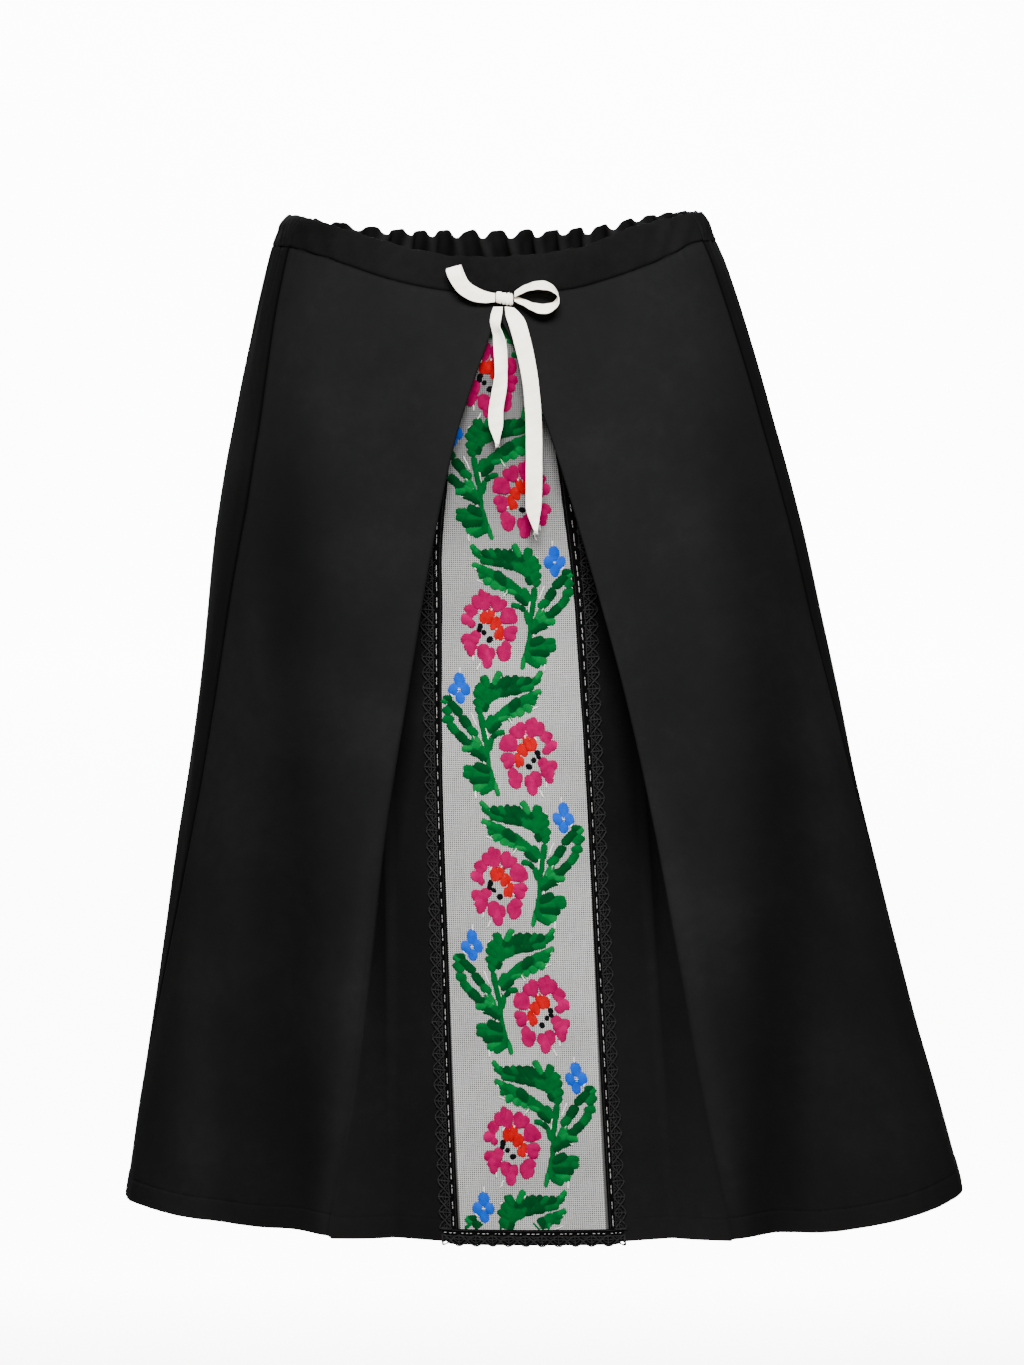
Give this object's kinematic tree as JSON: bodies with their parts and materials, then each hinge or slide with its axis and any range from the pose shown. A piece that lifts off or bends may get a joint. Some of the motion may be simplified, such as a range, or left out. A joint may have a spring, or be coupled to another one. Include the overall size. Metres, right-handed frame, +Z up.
{
  "type": "embroidered pleated midi skirt",
  "caption": "A-line midi skirt with an elastic gathered back waist, an inverted front pleat over an embroidered net strip framed in crochet lace, and a ribbon bow.",
  "frame": {"origin": "middle of the waist opening, level with the middle of the waistband at the wearer's sides", "axes": "+Z up towards the top of the waistband, -Y towards the front of the skirt, +X to the right as seen from the front"},
  "size_m": [0.634, 0.3501, 0.7501],
  "materials": {
    "cloth": "matt black crepe",
    "net": "light grey net with coloured satin-stitch embroidery",
    "lace": "black cotton crochet with white dashes",
    "ribbon": "cream satin ribbon with raised edges"
  },
  "bodies": {
    "root": {"front_panel_left": "cloth", "front_panel_right": "cloth", "back_panel": "cloth", "front_waistband": "cloth", "back_waistband": "cloth", "embroidered_strip": "net", "lace_left": "lace", "lace_right": "lace", "lace_bottom": "lace", "bow_knot": "ribbon", "bow_loop_left": "ribbon", "bow_loop_right": "ribbon", "bow_tail_left": "ribbon", "bow_tail_right": "ribbon"}
  },
  "joints": []
}
